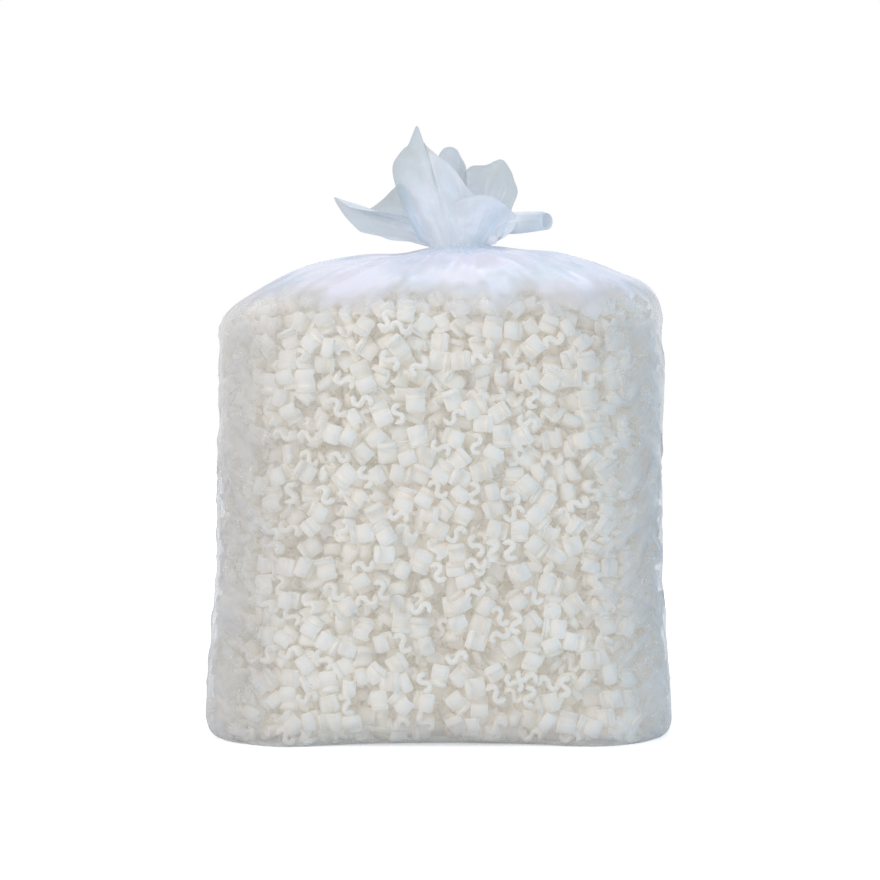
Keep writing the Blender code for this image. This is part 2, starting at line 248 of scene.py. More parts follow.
def limited(x):
    """The numbers, kept between 0 and 1."""
    return np.clip(x, 0.0, 1.0)


def smooth_step(x, low, high):
    """0 below low and 1 above high, with level ends."""
    t = limited((x - low) / (high - low))
    return t * t * (3 - 2 * t)


def waves(turn, terms):
    """A sum of sine waves round a full turn, each by its count, size and phase."""
    return sum(size * np.sin(count * turn + phase) for count, size, phase in terms)


def cubic(t, low, high, low_slope, high_slope, span=1.0):
    """The cubic piece from low to high over the span, with the slopes at its two ends."""
    start = (1 + 2 * t) * (1 - t) ** 2 * low + t * (1 - t) ** 2 * span * low_slope
    return start + t * t * (3 - 2 * t) * high - t * t * (1 - t) * span * high_slope


def through_stations(share, column):
    """A station column at each share: cubic pieces with continuous slope, level at the bottom."""
    xs = WALL_STATIONS[:, 0]
    ys = WALL_STATIONS[:, column]
    slope = np.gradient(ys, xs)
    slope[0] = 0.0
    k = np.clip(np.searchsorted(xs, share) - 1, 0, len(xs) - 2)
    span = xs[k + 1] - xs[k]
    t = limited((share - xs[k]) / span)
    return cubic(t, ys[k], ys[k + 1], slope[k], slope[k + 1], span)


def section_at(height, clear=0.0):
    """Half width, half depth, squareness and middle of the bag's superellipse at each height.

    Below the fillet's top the section draws in along a quarter circle. Above the shoulder it shrinks
    to the neck's as a power of the cosine of the crown's angle, whose sine is the height's share.
    """
    share = limited((height - FILLET) / (SHOULDER - FILLET))
    short = np.clip(FILLET - height, 0.0, FILLET)
    tuck = FILLET - np.sqrt(FILLET**2 - short**2)
    rise = limited((height - SHOULDER) / (CROWN_RISE - clear))
    keep = np.sqrt(1 - rise * rise) ** CROWN_POWER
    width = NECK_WIDTH / 2 + (BAG_WIDTH / 2 - through_stations(share, 1) - tuck - NECK_WIDTH / 2) * keep
    depth = NECK_DEPTH / 2 + (BAG_DEPTH / 2 - through_stations(share, 2) - tuck - NECK_DEPTH / 2) * keep
    square = NECK_SQUARENESS + (through_stations(share, 3) - NECK_SQUARENESS) * keep
    return width, depth, square, NECK_X * (1 - keep) ** CROWN_DRIFT


def base_draw(across, height):
    """How far the front and back draw in near the floor: hollow at the middle, swollen beside it.

    across is the share of the half width. The hollow is a squared cosine of it and the swelling a
    bell about two thirds of the way out, and both die away as a square with the height.
    """
    fade = limited(1 - height / HOLLOW_TOP) ** 2
    across = limited(np.abs(across))
    swell = BASE_SWELL * bell(across, SWELL_MIDDLE, SWELL_WIDTH)
    return fade * (BASE_HOLLOW * np.cos(across * math.pi / 2) ** 2 - swell)


class Inside:
    """The space inside the film: how deep a point lies in it, and which way is inwards."""

    def __init__(self):
        self.heights = np.linspace(-0.01, NECK + 0.01, 640)
        self.sections = np.array(section_at(self.heights, CROWN_CLEAR))
        self.top = NECK - CROWN_CLEAR

    def level(self, p):
        """1 on the film and less inside: the superellipse's own norm at the point's height."""
        width, depth, square, middle = (np.interp(p[..., 2], self.heights, row) for row in self.sections)
        x = np.abs(p[..., 0] - middle) / width
        y = np.abs(p[..., 1]) / (depth - base_draw(x, p[..., 2]))
        return (x**square + y**square) ** (1 / square)

    def depth(self, p):
        """Distance to the film by the level's slope, or to the floor or the neck if that is nearer."""
        here = self.level(p)
        slope = np.empty(p.shape)
        for axis in range(3):
            ahead = p.copy()
            ahead[..., axis] += SLOPE_STEP
            slope[..., axis] = (self.level(ahead) - here) / SLOPE_STEP
        size = np.linalg.norm(slope, axis=-1)
        deep = (1 - here) / size
        inward = -slope / size[..., None]
        for gap, way in ((p[..., 2], 1.0), (self.top - p[..., 2], -1.0)):
            nearer = gap < deep
            deep = np.where(nearer, gap, deep)
            inward[nearer] = (0.0, 0.0, way)
        return deep, inward


def turns_of(vectors):
    """Rotation matrices of rotation vectors: 1 + sin a K + (1 - cos a) K K."""
    angle = np.maximum(np.linalg.norm(vectors, axis=1), 1e-12)
    x, y, z = (vectors / angle[:, None]).T
    none = np.zeros(len(vectors))
    cross = np.stack([none, -z, y, z, none, -x, -y, x, none], axis=1).reshape(-1, 3, 3)
    sine = np.sin(angle)[:, None, None]
    cosine = np.cos(angle)[:, None, None]
    return np.eye(3) + sine * cross + (1 - cosine) * (cross @ cross)


def random_turns(generator, count):
    """Even random rotations, from unit quaternions."""
    drawn = generator.normal(size=(count, 4))
    w, x, y, z = (drawn / np.linalg.norm(drawn, axis=1, keepdims=True)).T
    rows = [1 - 2 * (y * y + z * z), 2 * (x * y - w * z), 2 * (x * z + w * y)]
    rows += [2 * (x * y + w * z), 1 - 2 * (x * x + z * z), 2 * (y * z - w * x)]
    rows += [2 * (x * z - w * y), 2 * (y * z + w * x), 1 - 2 * (x * x + y * y)]
    return np.stack(rows, axis=1).reshape(-1, 3, 3)


def turned(turn, points):
    """The same points turned by each of the rotations."""
    return np.einsum("nij,bj->nbi", turn, points)


def near_pairs(centres, reach):
    """Pairs of points nearer than reach: sorted cells, each searched against itself and 13 others."""
    cell = np.floor(centres / reach).astype(np.int64)
    cell -= cell.min(axis=0) - 1
    size = cell.max(axis=0) + 2
    key = (cell[:, 0] * size[1] + cell[:, 1]) * size[2] + cell[:, 2]
    order = np.argsort(key, kind="stable")
    key = key[order]
    place = np.arange(len(key))
    around = [(x, y, z) for z in (0, 1) for y in (-1, 0, 1) for x in (-1, 0, 1)]
    around = [step for step in around if step[::-1] >= (0, 0, 0)]
    first = []
    second = []
    for x, y, z in around:
        wanted = key + (x * size[1] + y) * size[2] + z
        low = place + 1 if (x, y, z) == (0, 0, 0) else np.searchsorted(key, wanted, "left")
        count = np.maximum(np.searchsorted(key, wanted, "right") - low, 0)
        one = np.repeat(place, count)
        other = np.repeat(low - np.cumsum(count) + count, count) + np.arange(len(one))
        first.append(order[one])
        second.append(order[other])
    first = np.concatenate(first)
    second = np.concatenate(second)
    near = ((centres[first] - centres[second]) ** 2).sum(axis=1) < reach * reach
    return first[near], second[near]


def s_strand(stations):
    """The S's middle line, its direction and its left: two arcs of the hook's angle that meet midway."""
    along = np.linspace(-1.0, 1.0, stations)
    side = np.where(along > 0, 1.0, -1.0)
    angle = HOOK * np.abs(along)
    middle = np.stack([side * RING * (1 - np.cos(angle)), -side * RING * np.sin(angle)], axis=1)
    ahead = np.stack([np.sin(angle), -np.cos(angle)], axis=1)
    return middle, ahead, np.stack([-ahead[:, 1], ahead[:, 0]], axis=1)


def s_outline(stations):
    """The S's outline: both sides of its strand, and the middle line's direction for the tips."""
    middle, ahead, left = s_strand(stations)
    half = left * STRAND / 2
    return np.concatenate([middle + half, middle - half]), middle, ahead


def raised(outline, levels):
    """A flat outline's points at each of the levels."""
    return np.array([(x, y, z) for z in levels for x, y in outline])


def own_axes(corners):
    """The axes of a peanut by its corners: x along the S, y across it and z along the strand's cut.

    They are the directions of the corners' spread. The mean of x cubed times y tells an S from its
    mirror image, and so which way y and z point.
    """
    local = corners - corners.mean(axis=0)
    spread = np.linalg.svd(local, full_matrices=False)[2]
    axes = np.stack([spread[1], np.cross(spread[0], spread[1]), spread[0]], axis=1)
    x, y, _ = (local @ axes).T
    return axes * (1, -1, -1) if (x**3 * y).mean() < 0 else axes


def kept_seats():
    """The solids' own separate peanuts: names, middles, and turns from a peanut that stands straight."""
    names = sorted(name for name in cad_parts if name.startswith("peanut_") and name[7:].isdigit())
    outline, middle, ahead = s_outline(SOLID_STATIONS)
    tips = np.array([middle[0] - ahead[0] * STRAND / 2, middle[-1] + ahead[-1] * STRAND / 2])
    straight_axes = own_axes(raised(np.concatenate([outline, tips]), ENDS))
    middles = []
    turns = []
    for name in names:
        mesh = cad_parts[name].data
        corners = np.empty(len(mesh.vertices) * 3)
        mesh.vertices.foreach_get("co", corners)
        corners = corners.reshape(-1, 3)
        middles.append(corners.mean(axis=0))
        turns.append(own_axes(corners) @ straight_axes.T)
    return names, np.array(middles), np.array(turns)


def starting_points(generator, inside, count):
    """Jittered points of a cubic grid inside the film, thinned to the count."""
    pitch = START_PITCH
    while True:
        axes = [np.arange(low, high, pitch) for low, high in START_BOX]
        points = np.stack(np.meshgrid(*axes, indexing="ij"), axis=-1).reshape(-1, 3)
        points = points + generator.uniform(-0.3, 0.3, points.shape) * pitch
        points = points[inside.depth(points)[0] > START_DEPTH]
        if len(points) >= count:
            return points[generator.permutation(len(points))[:count]]
        pitch *= 0.985


def box_corners():
    """The corners that the film must clear: six round the S, at both ends of the peanut's length."""
    outer = RING + STRAND / 2
    rim = [(-RING - outer, 0), (RING + outer, 0)]
    rim += [(x, y) for y in (outer, -outer) for x in (-RING, RING)]
    return raised(rim, ENDS)


def ball_pushes(ball_at, at, owner, pairs, grown):
    """What balls that overlap push: which peanut, how far from its middle, and how far each way."""
    one, other = pairs
    gap = ball_at[one] - ball_at[other]
    distance = np.sqrt((gap**2).sum(axis=1)) + 1e-9
    over = 2 * BALL * grown - distance
    hit = over > 0
    push = gap[hit] * (0.5 * over[hit] / distance[hit])[:, None]
    who = np.concatenate([owner[one[hit]], owner[other[hit]]])
    arm = np.concatenate([ball_at[one[hit]], ball_at[other[hit]]]) - at[who]
    return who, arm, np.concatenate([push, -push])


def film_pushes(inside, at, turn, deep, corners):
    """What the film pushes: the corners that lie past it, inwards and by somewhat more than that."""
    outermost = np.flatnonzero(deep < TOUCH_DEPTH)
    arm = turned(turn[outermost], corners)
    corner_deep, corner_in = inside.depth(at[outermost][:, None] + arm)
    past = corner_deep < FILM_CLEAR
    who = np.repeat(outermost, len(corners)).reshape(past.shape)[past]
    return who, arm[past], FILM_PUSH * (corner_in * (FILM_CLEAR - corner_deep)[..., None])[past]


def summed(owner, values, count):
    """The sum of the values of each owner."""
    return np.stack([np.bincount(owner, values[:, axis], count) for axis in range(3)], axis=1)


def settle_peanuts(held_at, held_turn):
    """Middles, turns and depths of all peanuts, grown and pushed apart until they only touch.

    Each is four balls that keep their places in it, and that grow from 0.55 of their size. In every
    round a ball that overlaps another's pushes both peanuts half of the overlap away and turns them,
    a corner past the film is pushed in, and the peanuts next to the film lean on it, so that they come
    to lie flat against it. The lowest ones sink as well, to fill the base out to its edge. The held
    ones, the solids' own, stay.
    """
    generator = rng_for("settle")
    inside = Inside()
    held = len(held_at)
    at = np.concatenate([held_at, starting_points(generator, inside, PEANUTS)])
    turn = np.concatenate([held_turn, random_turns(generator, PEANUTS)])
    balls = np.array([(x, 0, z) for x in (-1, 1) for z in (-1, 1)]) * BALL_REACH
    corners = box_corners()
    owner = np.repeat(np.arange(len(at)), len(balls))
    stiff_turn = (LENGTH / 2) ** 2
    for round_number in range(SETTLE_ROUNDS):
        grown = min(1.0, 0.55 + 0.45 * round_number / GROWN_BY)
        ball_at = (at[:, None] + turned(turn, balls * grown)).reshape(-1, 3)
        if round_number % PAIR_ROUNDS == 0:
            one, other = near_pairs(ball_at, 2 * BALL + PAIR_SLACK)
            apart = owner[one] != owner[other]
            pairs = one[apart], other[apart]
        deep, inward = inside.depth(at)
        from_balls = ball_pushes(ball_at, at, owner, pairs, grown)
        from_film = film_pushes(inside, at, turn, deep, corners * grown)
        who, arm, force = (np.concatenate(both) for both in zip(from_balls, from_film))
        ease = 1.0 / np.maximum(1, np.bincount(who, minlength=len(at)))[:, None] ** 0.6
        move = summed(who, force, len(at)) * ease
        spin = summed(who, np.cross(arm, force), len(at)) * ease / stiff_turn
        if round_number < LEAN_UNTIL:
            leaning = deep < LEAN_DEPTH
            move[leaning] -= inward[leaning] * LEAN
            move[at[:, 2] < SINK_TOP, 2] -= SINK
        move[:held] = 0.0
        spin[:held] = 0.0
        spin *= np.minimum(1.0, MOST_SPIN / np.maximum(np.linalg.norm(spin, axis=1, keepdims=True), 1e-9))
        at = at + move
        turn = turns_of(spin) @ turn
    return at, turn, inside.depth(at)[0]


def grid_quads(index, closed):
    """The faces of a grid of point numbers, joined round on itself if it is closed."""
    after = np.roll(index, -1, axis=1)
    quads = np.stack([index[:-1], after[:-1], after[1:], index[1:]], axis=-1)
    return (quads if closed else quads[:, :-1]).reshape(-1, 4)


def sheet_quads(rows, columns, closed):
    """The faces of a sheet of rows and columns."""
    return grid_quads(np.arange(rows * columns).reshape(rows, columns), closed)


def peanut_mesh(stations, rounded):
    """One peanut's corners and faces: a section of the strand carried along the S, with its two caps.

    The section is the strand's wall by its length, with roof-shaped ends that shade as round, or
    for the peanuts that are hardly seen a plain one with square ends.
    """
    middle, _, left = s_strand(stations)
    w, h, e = STRAND / 2, LENGTH / 2, EDGE_ROUND
    section = np.array([(w, h - e), (0, h), (-w, h - e), (-w, e - h), (0, -h), (w, e - h)])
    if not rounded:
        section = section[[0, 2, 3, 5]]
    count = len(section)
    plane = middle[:, None] + left[:, None] * section[None, :, :1]
    high = np.broadcast_to(section[None, :, 1:], plane.shape[:2] + (1,))
    points = np.concatenate([plane, high], axis=2).reshape(-1, 3)
    grid = np.arange(stations * count).reshape(stations, count)
    after = np.roll(grid, -1, axis=1)
    quads = np.stack([grid[:-1], grid[1:], after[1:], after[:-1]], axis=-1).reshape(-1, 4)
    return points, quads, [grid[0], grid[-1][::-1]]


def mesh_of_faces(name, points, face_lists):
    """A mesh object from point coordinates and a list of face arrays, each of one corner count."""
    corners = np.concatenate([faces.ravel() for faces in face_lists])
    sizes = np.concatenate([np.full(len(faces), faces.shape[1]) for faces in face_lists])
    starts = np.concatenate([[0], np.cumsum(sizes)[:-1]])
    mesh = bpy.data.meshes.new(name)
    mesh.vertices.add(len(points))
    mesh.vertices.foreach_set("co", np.ascontiguousarray(points, dtype=np.float32).ravel())
    mesh.loops.add(len(corners))
    mesh.loops.foreach_set("vertex_index", corners.astype(np.int32))
    mesh.polygons.add(len(sizes))
    mesh.polygons.foreach_set("loop_start", starts.astype(np.int32))
    mesh.update(calc_edges=True)
    mesh.validate()
    mesh.shade_smooth()
    return linked(name, mesh)


def linked(name, data):
    """A new object of the data, in the scene."""
    made = bpy.data.objects.new(name, data)
    bpy.context.scene.collection.objects.link(made)
    return made


def add_layers(piece, **layers):
    """Numbers, or places for the streaks, for each point of the piece: its material reads them by name."""
    for name, values in layers.items():
        kind, field = ("FLOAT_VECTOR", "vector") if values.shape[-1] == 3 else ("FLOAT", "value")
        layer = piece.data.attributes.new(name, kind, "POINT")
        layer.data.foreach_set(field, np.ascontiguousarray(values, dtype=np.float32).ravel())


def round_flow(turn, radius, along):
    """The streaks' place on a closed piece: a circle for the way round, so that it has no seam."""
    x, y, z = np.broadcast_arrays(radius * np.cos(turn), radius * np.sin(turn), along)
    return np.stack([x, y, z], axis=2)


def peanut_cloud(name, at, turn, stations, rounded, sizes=SIZES):
    """One piece of many peanuts: the peanut's corners turned and moved to each place."""
    points, quads, caps = peanut_mesh(stations, rounded)
    generator = rng_for(name)
    size = np.stack([generator.uniform(low, high, len(at)) for low, high in sizes], axis=1)
    placed = at[:, None] + np.einsum("nij,nbj->nbi", turn, points * size[:, None])
    placed[..., 2] = np.maximum(placed[..., 2], FLOOR_CLEAR)
    offset = (np.arange(len(at)) * len(points))[:, None, None]
    all_quads = (quads[None] + offset).reshape(-1, 4)
    all_caps = (np.array(caps)[None] + offset).reshape(-1, len(caps[0]))
    piece = mesh_of_faces(name, placed.reshape(-1, 3), [all_quads, all_caps])
    add_layers(piece, tone=np.repeat(generator.uniform(0.0, 1.0, len(at)), len(points)))
    return piece


def even_ring(width, depth, square, middle, columns):
    """Points of one superellipse at equal steps along its edge, from +X towards +Y."""
    angle = np.linspace(0.0, 2 * math.pi, 1441)
    cosine, sine = np.cos(angle), np.sin(angle)
    x = width * np.sign(cosine) * np.abs(cosine) ** (2 / square)
    y = depth * np.sign(sine) * np.abs(sine) ** (2 / square)
    run = np.concatenate([[0.0], np.cumsum(np.hypot(np.diff(x), np.diff(y)))])
    wanted = run[-1] * np.arange(columns) / columns
    return np.interp(wanted, run, x) + middle, np.interp(wanted, run, y)


def film_heights():
    """The rows' heights: the fillet at equal angles, the wall at equal steps, the crown at equal angles."""
    fillet = FILLET * (1 - np.cos(np.linspace(0.0, math.pi / 2, FILLET_ROWS + 1)))[:-1]
    wall = np.linspace(FILLET, SHOULDER, WALL_ROWS)
    crown = SHOULDER + CROWN_RISE * np.sin(np.linspace(0.0, math.pi / 2, CROWN_ROWS + 1))[1:]
    return np.concatenate([fillet, wall, crown])


def smooth_film():
    """The film's grid before it is creased: one even superellipse for each row's height."""
    heights = film_heights()
    width, depth, square, middle = section_at(heights)
    rows = []
    for k, height in enumerate(heights):
        x, y = even_ring(width[k], depth[k], square[k], middle[k], FILM_COLUMNS)
        y = y * (1 - base_draw((x - middle[k]) / width[k], height) / depth[k])
        rows.append(np.stack([x, y, np.full(FILM_COLUMNS, height)], axis=1))
    return np.array(rows)


def outward(grid):
    """The unit normals of a closed grid of rings: the way round crossed with the way up."""
    around = np.roll(grid, -1, axis=1) - np.roll(grid, 1, axis=1)
    normal = np.cross(around, np.gradient(grid, axis=0))
    return normal / np.linalg.norm(normal, axis=2, keepdims=True)


def peanut_skin(at, turn):
    """Points spread over the outer peanuts' faces."""
    local = raised(s_outline(11)[0], np.linspace(*ENDS, 7))
    return (at[:, None] + turned(turn, local)).reshape(-1, 3)


def stretched_over(grid, normal, skin):
    """How far the film stands in from its smooth form where it is stretched over the peanuts' skin.

    Each skin point marks its cell of the wall with its own depth. The film may sink as deep as that
    and no deeper, and between the marks it is drawn to the mean of its neighbours, round after round.
    """
    heights = grid[:, 0, 2]
    row = np.interp(skin[:, 2], heights, np.arange(len(heights)))
    angle = np.arctan2(skin[:, 1], skin[:, 0])
    wall = (row > 1) & (row < FILLET_ROWS + WALL_ROWS)
    skin, row, angle = skin[wall], np.round(row[wall]).astype(int), angle[wall]
    column = np.empty(len(skin), dtype=int)
    ring_angle = np.unwrap(np.arctan2(grid[..., 1], grid[..., 0]), axis=1)
    for k in np.unique(row):
        here = row == k
        around = np.mod(angle[here] - ring_angle[k, 0], 2 * math.pi) + ring_angle[k, 0]
        column[here] = np.round(np.interp(around, ring_angle[k], np.arange(FILM_COLUMNS)))
    deep = ((grid[row, column] - skin) * normal[row, column]).sum(axis=1)
    room = np.full(grid.shape[:2], SAG_MOST)
    np.minimum.at(room, (row, column), np.maximum(deep - FILM_OVER, 0.0))
    sag = room.copy()
    for _ in range(TENSION_ROUNDS):
        padded = np.concatenate([sag[:1], sag, sag[-1:]])
        mean = (padded[:-2] + padded[2:] + np.roll(sag, 1, axis=1) + np.roll(sag, -1, axis=1)) / 4
        sag = np.minimum(room, mean + SAG_PULL)
    return sag


def film_plane(grid):
    """The film's own plane: how far round from +X and how far up each point lies, in metres."""
    across = np.broadcast_to(np.arange(FILM_COLUMNS) / FILM_COLUMNS * PERIMETER, grid.shape[:2])
    length = np.linalg.norm(np.diff(grid, axis=0), axis=2).mean(axis=1)
    up = np.broadcast_to(np.concatenate([[0.0], np.cumsum(length)])[:, None], grid.shape[:2])
    return across, up


def creases(plane, generator, draw, count, long, thick, tall):
    """A sum of ridges in the film's own plane, as heights and as a mask of 0 to 1.

    Each ridge is a Gaussian across its line and a raised cosine along it. draw gives its place and
    slant, and long, thick and tall are the least and the greatest of its other numbers.
    """
    across, up = plane
    height = np.zeros(across.shape)
    mask = np.zeros(across.shape)
    for _ in range(count):
        x, z, angle = draw(generator)
        half = generator.uniform(*long) / 2
        wide = generator.uniform(*thick)
        rise = generator.uniform(*tall)
        bend = generator.uniform(-0.3, 0.3)
        dx = across - x
        dx = dx - PERIMETER * np.round(dx / PERIMETER)
        dz = up - z
        run = dx * math.cos(angle) + dz * math.sin(angle)
        off = -dx * math.sin(angle) + dz * math.cos(angle) + bend * run * run / half
        window = np.where(np.abs(run) < half, (1 + np.cos(math.pi * run / half)) / 2, 0.0)
        ridge = bell(off, 0.0, wide) * window
        height += rise * ridge
        mask = np.maximum(mask, ridge)
    return height, mask


def corner_folds(plane):
    """The long slanting folds that hang from the shoulders down each corner towards the faces' middle."""
    generator = rng_for("tension folds")
    height = np.zeros(plane[0].shape)
    mask = np.zeros(plane[0].shape)
    for corner, inward in [(corner, inward) for corner in CORNERS for inward in (-1, 1)]:
        rise, ridge = creases(
            plane, generator,
            lambda g: (corner * PERIMETER + inward * g.uniform(0.0, 0.075), g.uniform(0.10, 0.50),
                       -inward * g.uniform(0.5, 1.0)),
            *CORNER_FOLDS)
        height += rise
        mask = np.maximum(mask, ridge)
    return height, mask


def film_creases(plane, crown):
    """All creases of the walls and the crown, as heights and as a mask of 0 to 1."""
    generator = rng_for("film creases")
    top = plane[1][-1, 0]

    def wall_line(g):
        x, z = g.uniform(0, PERIMETER), g.uniform(0.02, 0.50)
        return x, z, g.choice((-1, 1)) * g.uniform(0.5, 1.4)

    def crown_line(g):
        x, z = g.uniform(0, PERIMETER), g.uniform(0.47, top - 0.05)
        return x, z, math.pi / 2 + g.uniform(-0.5, 0.5)

    fine, fine_mask = creases(plane, generator, wall_line, *WALL_CREASES)
    pleat, pleat_mask = creases(plane, generator, crown_line, *CROWN_PLEATS)
    broad, _ = creases(plane, generator, crown_line, *CROWN_FOLDS)
    fold, fold_mask = corner_folds(plane)
    on_crown = limited(crown * 6)
    height = (fine + fold) * (1 - crown) + (pleat + broad - 0.001) * on_crown * (1 - crown) ** 0.5
    return height, np.maximum(np.maximum(fine_mask, fold_mask) * (1 - crown), pleat_mask * on_crown)


def swollen(grid, crown):
    """How far the film stands out past the even sections, as bells over its width and its height."""
    x, _, z = np.moveaxis(grid, 2, 0)
    right, left = smooth_step(x, 0.06, 0.24), smooth_step(-x, 0.06, 0.24)
    sides = right * (0.009 * bell(crown, 0.42, 0.24) + 0.004 * bell(z, 0.46, 0.05))
    sides = sides + left * (0.005 * bell(z, 0.512, 0.028) + 0.004 * (1 - smooth_step(z, 0.04, 0.30)))
    top = sum(tall * bell(x, middle, width) for tall, middle, width in CROWN_BELLS)
    return sides + top * limited(crown * 3) - 0.004 * bell(crown, 0.96, 0.06)


def base_of(grid):
    """The base's own points, three rings and a middle, and its faces from the grid's lowest row on."""
    rows, columns = grid.shape[:2]
    rings = [grid[0] * (share, share, 1.0) for share in BASE_RINGS]
    points = np.concatenate(rings + [np.zeros((1, 3))])
    hub = rows * columns + len(points) - 1
    chain = np.concatenate([np.arange(columns)[None], np.arange(rows * columns, hub).reshape(-1, columns)])
    fan = np.stack([np.full(columns, hub), np.roll(chain[-1], -1), chain[-1]], axis=-1)
    return points, [grid_quads(chain, True)[:, ::-1], fan]


def build_film(skin):
    """The walls, crown and base of the bag as one skin, with its haze and crease masks.

    The haze covers the crown down to a wandering edge. The film is loose near the four corners
    and the floor, where it hangs in streaks of its own.
    """
    grid = smooth_film()
    normal = outward(grid)
    heights = grid[:, 0, 2]
    crown = limited((heights - SHOULDER) / CROWN_RISE)[:, None]
    plane = film_plane(grid)
    across, up = plane
    turn = np.arange(FILM_COLUMNS) / FILM_COLUMNS * 2 * math.pi
    creased, crease = film_creases(plane, crown)
    gather = -0.010 * crown**1.5 * (1 - crown) ** 0.25 * (0.5 + 0.5 * waves(turn, GATHERS)[None])
    sag = stretched_over(grid, normal, skin) * (1 - limited(crown * 8))
    lift = FILM_OUT + swollen(grid, crown) + creased + gather - sag
    lift[:FILLET_ROWS + 1] *= np.linspace(0.0, 1.0, FILLET_ROWS + 1)[:, None]
    grid = grid + normal * lift[..., None]
    grid[..., 2] = np.maximum(grid[..., 2], 0.0)
    off_corner = np.min([np.abs(across / PERIMETER - corner) for corner in CORNERS], axis=0) * PERIMETER
    shoulder = SHOULDER_HAZE * bell(off_corner, 0.0, 0.075) * bell(heights, 0.505, 0.045)[:, None]
    haze = limited((crown + waves(turn, HAZE_EDGE)[None] - HAZE_START) / HAZE_SPAN)
    loose = bell(off_corner, 0.0, CORNER_REACH) * (1 - limited(crown * 4))
    low = FLOOR_LOOSE * limited(1 - heights / FLOOR_REACH)[:, None] ** 1.6
    base, base_faces = base_of(grid)
    points = np.concatenate([grid.reshape(-1, 3), base])
    film = mesh_of_faces("film_walls", points, [sheet_quads(*grid.shape[:2], True)] + base_faces)
    masks = {"haze": np.maximum(haze, shoulder), "crease": crease, "loose": np.maximum(loose, low)}
    pad = np.zeros(len(base))
    add_layers(film, **{name: np.append(values, pad) for name, values in masks.items()})
    flow = round_flow(turn[None], 0.27, 0.15 * up)
    hang = np.stack([2.3 * (up + 0.8 * off_corner), 0.5 * (0.8 * up - off_corner), 0 * up], axis=2)
    flow, hang = (np.concatenate([places.reshape(-1, 3), base]) for places in (flow, hang))
    add_layers(film, flow=flow, hang=hang)
    return film, grid


def on_film(grid, column, row):
    """Points of the film's grid at fractions of columns and rows, by the mean of the four nearest."""
    rows, columns = grid.shape[:2]
    row = np.clip(row, 0.0, rows - 1.001)
    low = row.astype(int)
    left = np.floor(column).astype(int)
    s = (row - low)[..., None]
    t = (column - left)[..., None]
    near = grid[low, left % columns] * (1 - t) + grid[low, (left + 1) % columns] * t
    far = grid[low + 1, left % columns] * (1 - t) + grid[low + 1, (left + 1) % columns] * t
    return near * (1 - s) + far * s


def build_painted_glints(grid):
    """The painted glints: short white slivers raised on the film, widest and highest at their middle.

    Each follows the film's grid along a slanting line. Most lie by the four upright corners and
    slant down towards the middle of their face.
    """
    generator = rng_for("film pinches")
    corner = generator.choice(CORNERS, PINCHES)
    inward = generator.choice((-1, 1), PINCHES)
    far = generator.uniform(0.0, 0.33, PINCHES) ** 1.6
    place = np.where(generator.uniform(size=PINCHES) < 0.9, corner * PERIMETER + inward * (far - 0.015),
                     generator.uniform(0.0, PERIMETER, PINCHES))[:, None, None]
    height, slant, half, wide = (generator.uniform(*span, (PINCHES, 1, 1)) for span in PINCH_SPANS)
    slant = -inward[:, None, None] * slant
    t = np.linspace(-1.0, 1.0, PINCH_STEPS)[None, :, None]
    side = np.array([-1.0, 0.0, 1.0])[None, None, :]
    taper = 1 - t * t
    run = half * t
    off = wide * taper * side
    across = place + run * np.cos(slant) - off * np.sin(slant)
    up = height + run * np.sin(slant) + off * np.cos(slant)
    lift = PINCH_OVER + 0.0007 * taper * (1 - np.abs(side)) + np.zeros(across.shape)
    row = FILLET_ROWS + (up - FILLET) / (SHOULDER - FILLET) * (WALL_ROWS - 1)
    column = across / PERIMETER * FILM_COLUMNS
    points = on_film(grid, column, row) + on_film(outward(grid), column, row) * lift[..., None]
    offset = (np.arange(PINCHES) * PINCH_STEPS * 3)[:, None, None]
    quads = (sheet_quads(PINCH_STEPS, 3, False)[None] + offset).reshape(-1, 4)
    return mesh_of_faces("film_pinches", points.reshape(-1, 3), [quads])


def seen_at(column, row, back):
    """The point that the photograph shows at a column and row, so many millimetres behind the middle."""
    back = back / 1000
    scale = (CAMERA_BACK + back) / FOCAL
    return (column - AHEAD[0]) * scale, back, CAMERA_HEIGHT + (AHEAD[1] - row) * scale


def open_curve(points, count):
    """A smooth open curve through the points: cubic pieces with slopes from the neighbours."""
    points = np.array(points, dtype=float)
    slope = np.gradient(points, axis=0)
    place = np.linspace(0.0, len(points) - 1, count)
    first = np.minimum(place.astype(int), len(points) - 2)
    t = (place - first)[:, None]
    return cubic(t, points[first], points[first + 1], slope[first], slope[first + 1])


def sheet_normal(grid):
    """The unit normals of an open grid."""
    normal = np.cross(np.gradient(grid, axis=1), np.gradient(grid, axis=0))
    return normal / np.maximum(np.linalg.norm(normal, axis=2, keepdims=True), 1e-12)


def straight_folds(u, t, generator, count, tall):
    """Sharp folds across a sheet: a sum of the distances from straight lines that fan from its root.

    u runs across the sheet and t from the root to the edge. Each line crosses the root at one u and
    the edge at another, and its fold stands up or down.
    """
    height = np.zeros(np.broadcast(u, t).shape)
    for _ in range(count):
        root, lean = generator.uniform(-0.1, 1.1), generator.normal(0.0, 0.28)
        off = u - (root + lean * t)
        height += generator.choice((-1, 1)) * generator.uniform(0.4, 1.0) * np.abs(off)
    height -= height.mean(axis=1, keepdims=True)
    return tall * height


def pleat_wave(u, generator, counts):
    """Sharp-crested pleats across a sheet, a sum of folded waves of several counts, from -1 to 1."""
    height = np.zeros(u.shape)
    for count in counts:
        phase = u * count + generator.uniform(0.0, 1.0) + 0.15 * np.sin(u * 9 + generator.uniform(0, 6))
        height += (1 - 2 * np.abs(2 * (phase - np.floor(phase)) - 1) ** 0.8) / len(counts)
    return height


